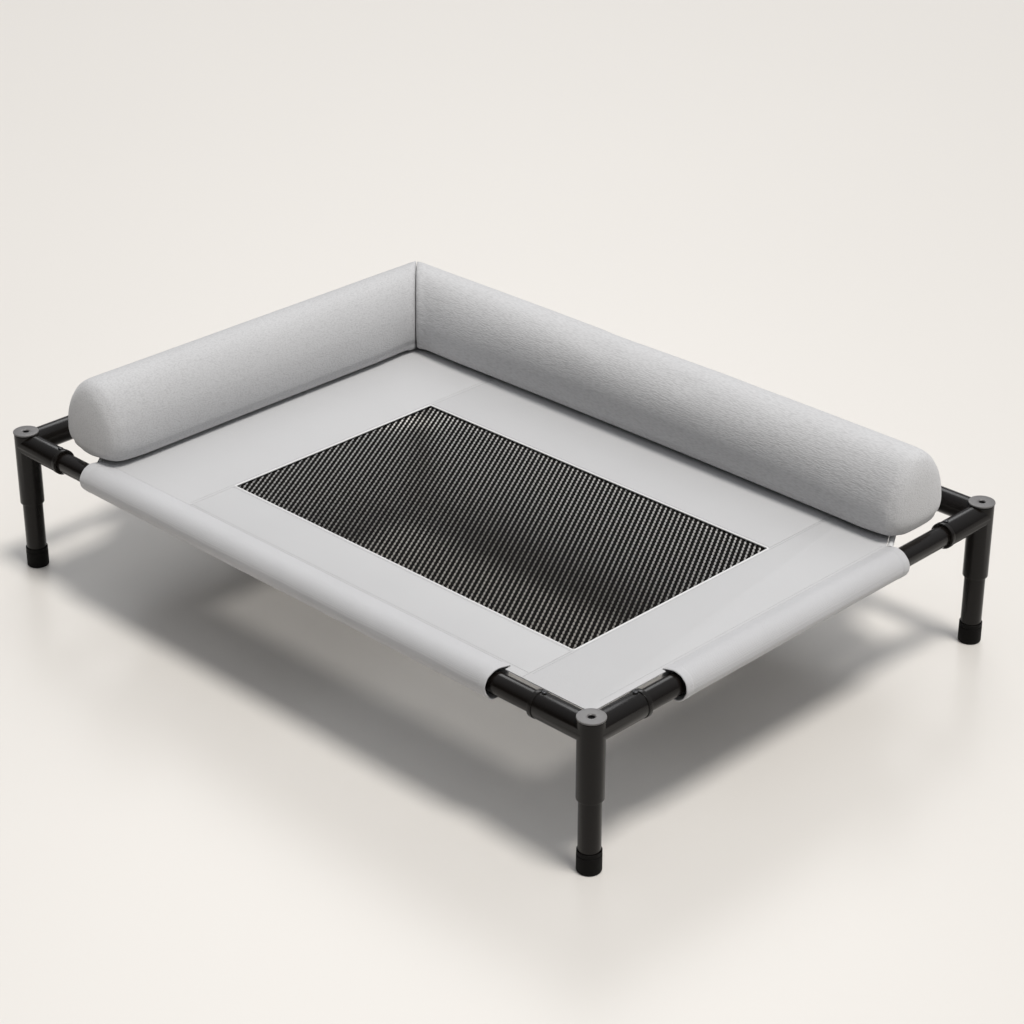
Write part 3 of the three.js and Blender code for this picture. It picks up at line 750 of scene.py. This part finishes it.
def add_deck():
    """Four bands, a bound edge round the opening painted lighter as a highlight, and rows of stitches."""
    thread_z = DECK_TOP + 0.05 * MM
    rows = stitch_rows()
    for name, outline in BANDS.items():
        node = f"deck_band_{name}"
        band = add_piece(f"{name}_band_cloth", slab(outline), "cloth", [node], 25.0)
        lines = [((*a, thread_z), (*b, thread_z)) for a, b in rows[name]]
        extra = [add_piece(f"{name}_band_stitches", stitches(lines), "stitch", angle=60.0)]
        xs, ys = [p[0] for p in outline], [p[1] for p in outline]
        flat = (max(xs) - min(xs), max(ys) - min(ys))
        if name == "front":
            extra.append(add_opening_edge())
        if name in ("left", "right"):
            extra += [add_corner_hem(c) for c in CORNERS if name in c and c != "front_right"]
        area_of(outline)


def add_opening_edge():
    """Narrow binding round the opening, painted lighter than the deck cloth as a highlight."""
    inset = 0.9 * MM
    corners = rectangle(OPEN_X[0] - inset, OPEN_X[1] + inset, OPEN_Y[0] - inset, OPEN_Y[1] + inset)
    path = []
    for (ax, ay), (bx, by) in zip(corners, corners[1:] + corners[:1]):
        for t in np.linspace(0.004, 0.996, 60):
            path.append((ax + (bx - ax) * t, ay + (by - ay) * t, DECK_TOP - 0.35 * MM))
    made = rod_along(path, 1.25 * MM, 12, closed=True, squash=0.8)
    return add_piece("opening_binding", made, "hem", angle=60.0)


def curl():
    """The rolled hem's section: a spiral from near its middle outwards."""
    t = np.linspace(0, 1, 41)
    size = CURL_R * (0.10 + 0.76 * t)
    turn = math.tau * CURL_TURNS * t - 0.7
    return np.stack([size * np.cos(turn), size * np.sin(turn)], -1)


def add_corner_hem(corner):
    """Rolled hem along a corner cut. Its cloth is wound round itself."""
    side_x, side_y = CORNERS[corner]
    start = Vector((side_x * SEAM_X, side_y * CUT_Y, 0))
    end = Vector(((CUT_LEFT if side_x < 0 else CUT_RIGHT), side_y * SEAM_Y, 0))
    along = (end - start).normalized()
    outward = Vector((side_x * abs(along.y), side_y * abs(along.x), 0))
    centre = (start + end) / 2 + outward * (CURL_R + 0.4 * MM)
    centre.z = DECK_TOP - CURL_R + CURL_RISE
    half = (end - start).length / 2
    spiral = curl()
    side = normals_2d(spiral)
    near = [-1.0, -0.996, -0.985]
    stations = np.concatenate([near, np.linspace(-0.96, 0.96, 25), [-s for s in near[::-1]]]) * half
    ripple = 1 + 0.05 * np.sin(stations * 190) * np.sin(stations * 77)

    def surface(sign):
        out = np.zeros((len(spiral), len(stations), 3))
        for j, s in enumerate(stations):
            thick = CURL_CLOTH / 2 * (0.4 if abs(s) > 0.99 * half else 1)
            for i, (u, w) in enumerate(spiral * ripple[j] + side * sign * thick):
                out[i, j] = centre + along * s + outward * u + Vector((0, 0, w))
        return out

    made = closed_sheet(surface(1), surface(-1))
    return add_piece(f"rolled_hem_{corner}", made, "hem", [f"deck_corner_hem_{corner}"], 60.0)


# ---- see-through mesh ----

MESH_STEP = Vector((5.70, 2.57)) * MM  # from a thick strand to the next
MESH_RUN = Vector((-3.78, 6.49)) * MM  # one twist along a thick strand
MESH_TRIM = 0.5 * MM
MESH_REACH = 1.2  # metres, well past the panel's ends
SHORTEST_STRAND = 1.5  # steps
STRAND_HALF, STRAND_SWELL = 2.08, 0.36  # mm, half its width and how much that swells at a twist
STRAND_HEIGHT, STRAND_DIP = 0.42, 0.06  # mm
STRAND_SWAY = 0.25 * MM
THREAD_HALF = 0.45 * MM


def clip_line(at, along, box):
    """The range of t for which at + along t lies in the box."""
    low, high = -math.inf, math.inf
    for axis in range(2):
        a, b = ((edge - at[axis]) / along[axis] for edge in box[axis])
        low, high = max(low, min(a, b)), min(high, max(a, b))
    return low, high


def ribbon(centres, across, half_widths, heights):
    """A flat strand: its section is a diamond of the given half width and height."""
    points = []
    for c, w, h in zip(centres, half_widths, heights):
        for t in np.arange(4) * math.tau / 4:
            points.append(c + across * (w * math.cos(t)) + Vector((0, 0, h * math.sin(t))))
    return points, ring_faces(len(centres), 4)


def lattice_lines(step, run, box):
    """(a point, first and last place along run) of each lattice line that crosses the box."""
    reach = int(MESH_REACH / min(step.length, run.length))
    centre = Vector(((box[0][0] + box[0][1]) / 2, (box[1][0] + box[1][1]) / 2))
    for k in range(-reach, reach):
        at = centre + step * k
        low, high = clip_line(at, run, box)
        if high - low > SHORTEST_STRAND:
            yield at, low, high


def places_along(first, last, samples):
    """Places from first to last, at whole steps of one over samples in between."""
    inside = np.arange(math.ceil(first * samples), math.floor(last * samples) + 1) / samples
    return np.concatenate([[first], inside, [last]])


def thick_strands(box, mid):
    across = Vector((MESH_RUN.y, -MESH_RUN.x)).normalized().to_3d()
    for at, first, last in lattice_lines(MESH_STEP, MESH_RUN, box):
        places = places_along(first, last, 4)
        phase = np.cos(math.tau * places)
        sway = np.sin(math.tau * places) * STRAND_SWAY
        line = [(at + MESH_RUN * t).to_3d() + across * s + Vector((0, 0, mid)) for t, s in zip(places, sway)]
        half_widths = (STRAND_HALF + STRAND_SWELL * phase) * MM
        yield ribbon(line, across, half_widths, (STRAND_HEIGHT - STRAND_DIP * phase) * MM)


def thin_threads(box, mid):
    across = Vector((MESH_STEP.y, -MESH_STEP.x)).normalized().to_3d()
    for at, first, last in lattice_lines(MESH_RUN, MESH_STEP, box):
        places = places_along(first, last, 2)
        lift = np.where(np.abs(places - np.round(places)) < 0.01, 0.12, -0.05) * MM
        line = [(at + MESH_STEP * t).to_3d() + Vector((0, 0, mid + z)) for t, z in zip(places, lift)]
        size = np.full(len(line), THREAD_HALF)
        yield ribbon(line, across, size, size * 0.6)


def add_mesh():
    """Thick twisted strands one way and thin threads across them, with open holes between."""
    low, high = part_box("mesh_panel")
    box = ((low.x + MESH_TRIM, high.x - MESH_TRIM), (low.y + MESH_TRIM, high.y - MESH_TRIM))
    mid = (MESH_BOTTOM + MESH_TOP) / 2
    made = joined(*thick_strands(box, mid), *thin_threads(box, mid))
    weave = add_piece("mesh_weave", made, "mesh", ["mesh_panel"], 60.0)
    tape = add_hem_tape()


def rectangle(x0, x1, y0, y1):
    return [(x0, y0), (x1, y0), (x1, y1), (x0, y1)]


def add_hem_tape():
    """Tape under the bands that holds the mesh panel's edge."""
    low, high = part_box("mesh_hem")
    outer, inner = rectangle(low.x, high.x, low.y, high.y), rectangle(*OPEN_X, *OPEN_Y)
    edge = 0.25 * MM
    rings = [
        (outer, 0.0, low.z + edge), (outer, 0.0, high.z - edge), (outer, edge, high.z),
        (inner, -edge, high.z), (inner, 0.0, high.z - edge), (inner, 0.0, low.z + edge),
        (inner, -edge, low.z), (outer, edge, low.z),
    ]
    points = [(x, y, z) for outline, by, z in rings for x, y in offset(outline, by)]
    made = points, ring_faces(len(rings), 4, closed=True)
    return add_piece("mesh_hem_tape", made, "cloth", ["mesh_hem"], 30.0)


# ---- bolsters ----

MITRE = Vector((middle("left_hook_strip").x, middle("back_hook_strip").y))
BOLSTER_BASE, BOLSTER_TOP = span("back_bolster", 2)
HALF_WIDTH = MITRE.x - span("left_bolster", 0)[0]
EQUATOR = 213.5 * MM
DOME = 26 * MM
DOME_POWER = 2.4
TUCK = 5 * MM
PINCH = 0.16  # how much narrower the domed end's lower edge is drawn in
BASE_SEAM = BOLSTER_BASE + 11 * MM
SEAM_HALF = 2.6 * MM
TIGHT = 5 * MM  # how much smaller a bolster starts than it is once stuffed
VOXEL = 6 * MM
MOST_SWELL = 6 * MM
MITRE_GAP, MITRE_PRESS = 0.8 * MM, 0.35 * MM  # each half from the mitre plane, before and after
MITRE_KEEP = 9 * MM
SOFT_CORNER = 10 * MM


def roll_rings(length, start):
    """Rings of a roll along +X whose section is an oval, and whose far end is domed."""
    half_width, half_height = HALF_WIDTH - TIGHT, BOLSTER_TOP - EQUATOR - TIGHT
    shoulder, dome = length - DOME, DOME - TIGHT
    stations = list(np.linspace(start, shoulder, 40))
    stations += [shoulder + dome * math.sin(math.pi / 2 * t) for t in np.linspace(0, 0.985, 16)[1:]]
    rings, sides = [], 64
    for s in stations:
        into = max(0.0, (s - shoulder) / dome)
        share = (1 - into**DOME_POWER) ** (1 / DOME_POWER)
        ring = []
        for k in range(sides):
            turn = math.tau * k / sides
            y = half_width * share * math.cos(turn)
            z = half_height * share * math.sin(turn)
            ring.append((s, y, max(z + EQUATOR, BOLSTER_BASE + TIGHT * 0.3)))
        rings.append(ring)
    return rings


def roll_solid(name, length):
    rings = roll_rings(length, -2.2 * HALF_WIDTH)
    return raw_object(name, ([p for ring in rings for p in ring], ring_faces(len(rings), len(rings[0]))))


def cut_at_mitre(piece, keep):
    """Keeps the side of the upright 45 degree plane that keep points to."""
    bm = bmesh.new()
    bm.from_mesh(piece.data)
    plane = Vector((MITRE.x, MITRE.y, 0)) + keep * MITRE_GAP
    geometry = bm.verts[:] + bm.edges[:] + bm.faces[:]
    cut = bmesh.ops.bisect_plane(bm, geom=geometry, plane_co=plane, plane_no=keep, clear_inner=True)
    edges = [e for e in cut["geom_cut"] if isinstance(e, bmesh.types.BMEdge)]
    bmesh.ops.contextual_create(bm, geom=edges)
    bmesh.ops.recalc_face_normals(bm, faces=bm.faces)
    bm.to_mesh(piece.data)
    bm.free()


def remesh(piece):
    modifier = piece.modifiers.new("remesh", "REMESH")
    modifier.mode, modifier.voxel_size, modifier.use_smooth_shade = "VOXEL", VOXEL, True
    apply_modifiers(piece)


def stuff(piece, keep):
    """Lets cloth pressure fill the piece, which is sewn down along its base and its mitre."""
    start = points_of(piece)
    sewn = (start[:, 2] < BOLSTER_BASE + 3 * MM) | (past_mitre(start, keep) < 1.2 * MM)
    group = piece.vertex_groups.new(name="sewn")
    group.add(np.nonzero(sewn)[0].tolist(), 1.0, "REPLACE")
    modifier = piece.modifiers.new("cloth", "CLOTH")
    cloth = modifier.settings
    cloth.quality, cloth.mass = 6, 0.25
    cloth.tension_stiffness = cloth.compression_stiffness = 12
    cloth.bending_stiffness = 5.0
    cloth.use_pressure, cloth.uniform_pressure_force = True, 4.0
    cloth.shrink_min = 0.0
    cloth.effector_weights.gravity = 0
    cloth.vertex_group_mass = group.name
    for step in range(1, 21):
        bpy.context.scene.frame_set(step)
    apply_modifiers(piece)
    bpy.context.scene.frame_set(1)
    move = points_of(piece) - start
    size = np.linalg.norm(move, axis=1, keepdims=True)
    set_points(piece, start + move * np.minimum(1, MOST_SWELL / np.maximum(size, 1e-9)))
    piece.vertex_groups.clear()


def set_points(piece, points):
    piece.data.vertices.foreach_set("co", np.asarray(points, np.float32).ravel())
    piece.data.update()


def smooth(piece, factor, times, keep):
    """Smooths all but the mitred face and its edges."""
    bm = bmesh.new()
    bm.from_mesh(piece.data)
    mitre = Vector((MITRE.x, MITRE.y, 0))
    loose = [v for v in bm.verts if (v.co - mitre).dot(keep) > MITRE_KEEP]
    all_ways = {"use_axis_x": True, "use_axis_y": True, "use_axis_z": True}
    for _ in range(times):
        bmesh.ops.smooth_vert(bm, verts=loose, factor=factor, **all_ways)
    bm.to_mesh(piece.data)
    bm.free()


def subdivide(piece):
    modifier = piece.modifiers.new("fine", "SUBSURF")
    modifier.levels = modifier.render_levels = 1
    apply_modifiers(piece)


def points_of(piece):
    return np.array([v.co for v in piece.data.vertices])


def normals_of(piece):
    return np.array([v.normal for v in piece.data.vertices])


def past_mitre(points, keep):
    """How far each point is from the mitre plane."""
    return (points - np.array([MITRE.x, MITRE.y, 0])) @ np.array(keep)


def level(piece, keep, along_x, end_at):
    """Draws the stuffed roll out to its sewn width and height, which pressure alone would even out."""
    points = points_of(piece)
    run_axis, side_axis = (0, 1) if along_x else (1, 0)
    run, away = points[:, run_axis], points[:, side_axis] - MITRE[side_axis]
    into = HALF_WIDTH if along_x else -HALF_WIDTH
    stations = np.linspace(MITRE[run_axis] + into, end_at - into * DOME / HALF_WIDTH, 14)
    near = [np.abs(run - at) < 6 * MM for at in stations]
    at = np.clip(run, min(stations), max(stations))
    tops = np.polyval(np.polyfit(stations, [points[some, 2].max() for some in near], 2), at)
    sides = np.polyval(np.polyfit(stations, [np.abs(away[some]).max() for some in near], 2), at)
    low = points[:, 2].min()
    points[:, 2] = BOLSTER_BASE + (points[:, 2] - low) * (BOLSTER_TOP - BOLSTER_BASE) / (tops - low)
    fade = np.clip(past_mitre(points, keep) / HALF_WIDTH, 0, 1)
    points[:, side_axis] += away * (HALF_WIDTH / sides - 1) * fade
    share = (run - MITRE[run_axis]) / (end_at - MITRE[run_axis])
    points[:, run_axis] += (end_at - MITRE[run_axis]) * (1 / share.max() - 1) * np.clip(share, 0, 1) ** 2
    set_points(piece, points)


def tuck(piece, along_x, end_at):
    """Draws the lower edge of the domed end in towards the base seam."""
    points = points_of(piece)
    run_axis, side_axis = (0, 1) if along_x else (1, 0)
    outwards = 1 if along_x else -1
    low = np.clip((EQUATOR - points[:, 2]) / (EQUATOR - BOLSTER_BASE), 0, 1) ** 1.6
    near = np.clip(1 - (end_at - points[:, run_axis]) * outwards / (2.2 * DOME), 0, 1)
    points[:, run_axis] -= outwards * TUCK * low * near
    away = points[:, side_axis] - MITRE[side_axis]
    points[:, side_axis] -= away * PINCH * low * near
    set_points(piece, points)


def pressed(points, keep):
    """The points, with those near the mitre pressed flat against it and its corner left crisp."""
    depth = past_mitre(points, keep)
    inside = depth - np.percentile(depth, 0.5)
    crisp = MITRE_PRESS + inside * np.clip(0.3 + 0.7 * inside / SOFT_CORNER, 0, 1)
    shift = (crisp - depth) * np.clip(1 - depth / HALF_WIDTH, 0, 1)
    return points + np.array(keep) * np.maximum(shift, MITRE_PRESS - depth)[:, None]


def sew(piece, keep, end_axis, end_at, outward_sign):
    """Draws the seams in, and keeps the piece inside the limits that its neighbours set."""
    points, normals = points_of(piece), normals_of(piece)
    base = np.exp(-(((points[:, 2] - BASE_SEAM) / SEAM_HALF) ** 2)) * (np.abs(normals[:, 2]) < 0.9)
    points -= normals * (1.5 * MM * base)[:, None]
    inwards = (end_at - points[:, end_axis]) * outward_sign
    ring = np.exp(-(((inwards - 0.55 * DOME) / SEAM_HALF) ** 2))
    points -= normals * (0.5 * MM * ring)[:, None]
    points[:, end_axis] -= outward_sign * np.maximum(-inwards, 0)
    points[:, 2] = np.clip(points[:, 2], BOLSTER_BASE, BOLSTER_TOP + 3 * MM)
    set_points(piece, pressed(points, keep))


def add_bolster(name, keep, along_x, end_at):
    """A stuffed roll with a mitre at one end and a dome at the other."""
    length = (end_at - MITRE.x) if along_x else (MITRE.y - end_at)
    piece = roll_solid(f"{name}_bolster_cushion", length)
    turn = Matrix.Identity(4) if along_x else Matrix.Rotation(-math.pi / 2, 4, "Z")
    piece.data.transform(Matrix.Translation((MITRE.x, MITRE.y, 0)) @ turn)
    cut_at_mitre(piece, keep)
    remesh(piece)
    stuff(piece, keep)
    smooth(piece, 0.5, 8, keep)
    level(piece, keep, along_x, end_at)
    tuck(piece, along_x, end_at)
    subdivide(piece)
    sew(piece, keep, 0 if along_x else 1, end_at, 1 if along_x else -1)
    dress(piece, f"{name}_bolster", [f"{name}_bolster"], 75.0)


def add_strip(name, kind):
    """A length of hook or loop tape with rounded edges."""
    node = f"{name}_{kind}_strip"
    low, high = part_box(node)
    outline = rounded(rectangle(low.x, high.x, low.y, high.y), 2 * MM, 4, closed=True)
    edge = 0.3 * MM
    rings = [(edge, low.z), (0.0, low.z + edge), (0.0, high.z - edge), (edge, high.z)]
    points = [(x, y, z) for by, z in rings for x, y in offset(outline, by)]
    made = points, ring_faces(len(rings), len(outline))
    tape = add_piece(f"{name}_{kind}_tape", made, "tape", [node])


# ---- studio ----


def sun_direction(azimuth, elevation):
    a, e = math.radians(azimuth), math.radians(elevation)
    return Vector((math.sin(a) * math.cos(e), -math.cos(a) * math.cos(e), math.sin(e)))


CAMERA_AZIMUTH, CAMERA_ELEVATION = 44.544, 27.106
CAMERA_LENS = 90.28
CAMERA_BACK, CAMERA_RIGHT, CAMERA_UP = 3.22269, 0.02612, 0.11107
KEY_AZIMUTH, KEY_ELEVATION = 96, 74
RIM_ELEVATION = 38
FLOOR_HALF = 14.0
SKY_AXIS = Vector((0.1, 0.25, 1.0)).normalized()
SKY_DARK, SKY_BRIGHT = 0.02, 0.78


def link(thing):
    bpy.context.scene.collection.objects.link(thing)
    return thing


def add_camera():
    back = sun_direction(CAMERA_AZIMUTH, CAMERA_ELEVATION)
    right = Vector((0, 0, 1)).cross(back).normalized()
    up = back.cross(right)
    data = bpy.data.cameras.new("camera")
    data.lens, data.sensor_width, data.clip_end = CAMERA_LENS, 36.0, 50.0
    camera = link(bpy.data.objects.new("camera", data))
    rotation = Matrix((right, up, back)).transposed().to_4x4()
    place = back * CAMERA_BACK + right * CAMERA_RIGHT + up * CAMERA_UP
    camera.matrix_world = Matrix.Translation(place) @ rotation
    bpy.context.scene.camera = camera


def add_sun(name, direction, strength, softness, colour):
    data = bpy.data.lights.new(name, "SUN")
    data.energy, data.angle, data.color = strength, math.radians(softness), colour
    light = link(bpy.data.objects.new(name, data))
    light.matrix_world = direction.to_track_quat("Z", "Y").to_matrix().to_4x4()


def add_floor():
    n = Nodes("studio_floor")
    slow = n.noise(1.5, 2.0)
    paint = n.mix(slow, (0.655, 0.63, 0.595), (0.67, 0.645, 0.61))
    mesh = bpy.data.meshes.new("floor")
    corners = rectangle(-FLOOR_HALF, FLOOR_HALF, -FLOOR_HALF, FLOOR_HALF)
    mesh.from_pydata([(x, y, 0) for x, y in corners], [], [(0, 1, 2, 3)])
    mesh.materials.append(n.finish(paint, 0.3, None, Specular_IOR_Level=0.25))
    floor = link(bpy.data.objects.new("floor", mesh))


def add_world():
    """Soft sky: brightest overhead and behind, dimmer on the side that the camera stands on."""
    world = bpy.data.worlds.new("studio")
    bpy.context.scene.world = world
    world.use_nodes = True
    tree = world.node_tree
    background = tree.nodes["Background"]
    place = tree.nodes.new("ShaderNodeTexCoord")
    dot = tree.nodes.new("ShaderNodeVectorMath")
    dot.operation = "DOT_PRODUCT"
    tree.links.new(place.outputs["Generated"], dot.inputs[0])
    dot.inputs[1].default_value = SKY_AXIS
    ramp = tree.nodes.new("ShaderNodeMapRange")
    ramp.inputs["From Min"].default_value, ramp.inputs["From Max"].default_value = 0.0, 1.0
    ramp.inputs["To Min"].default_value, ramp.inputs["To Max"].default_value = SKY_DARK, SKY_BRIGHT
    tree.links.new(dot.outputs["Value"], ramp.inputs["Value"])
    background.inputs["Color"].default_value = (0.97, 0.99, 1.03, 1)
    tree.links.new(ramp.outputs["Result"], background.inputs["Strength"])


def add_lights():
    add_sun("key", sun_direction(KEY_AZIMUTH, KEY_ELEVATION), 2.35, 15.0, (1.0, 0.97, 0.93))
    add_sun("rim", sun_direction(CAMERA_AZIMUTH + 180, RIM_ELEVATION), 0.45, 24.0, (1.0, 1.0, 1.0))
    bpy.context.scene.view_settings.view_transform = "Standard"
    bpy.context.scene.view_settings.look = "None"


# ---- build ----

add_camera()
for corner, (side_x, side_y) in CORNERS.items():
    add_corner(corner, side_x, side_y)
for rail in ("front", "back", "left", "right"):
    add_rail(rail)
SLEEVES = {
    "front": ((0, 1), abs(middle("front_rail").y) - SEAM_Y, 1.0),
    "back": ((0, -1), abs(middle("back_rail").y) - SEAM_Y, 2.0),
    "left": ((1, 0), abs(middle("left_rail").x) - SEAM_X, 3.0),
    "right": ((-1, 0), abs(middle("right_rail").x) - SEAM_X, 4.0),
}
for name, (inward, seam, seed) in SLEEVES.items():
    cloth, flat = add_sleeve(name, inward, seam, seed)
add_deck()
add_mesh()
add_bolster("left", Vector((-1, -1, 0)).normalized(), False, span("left_bolster", 1)[0])
add_bolster("back", Vector((1, 1, 0)).normalized(), True, span("back_bolster", 0)[1])
for name in ("left", "back"):
    for kind in ("loop", "hook"):
        add_strip(name, kind)
for node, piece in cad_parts.items():
    for start, look in (("leg_bolt", "screw"), ("leg_insert", "insert")):
        if node.startswith(start):
            piece.data.materials.clear()
            piece.data.materials.append(LOOKS[look])
add_floor()
add_world()
add_lights()

bpy.context.view_layer.update()
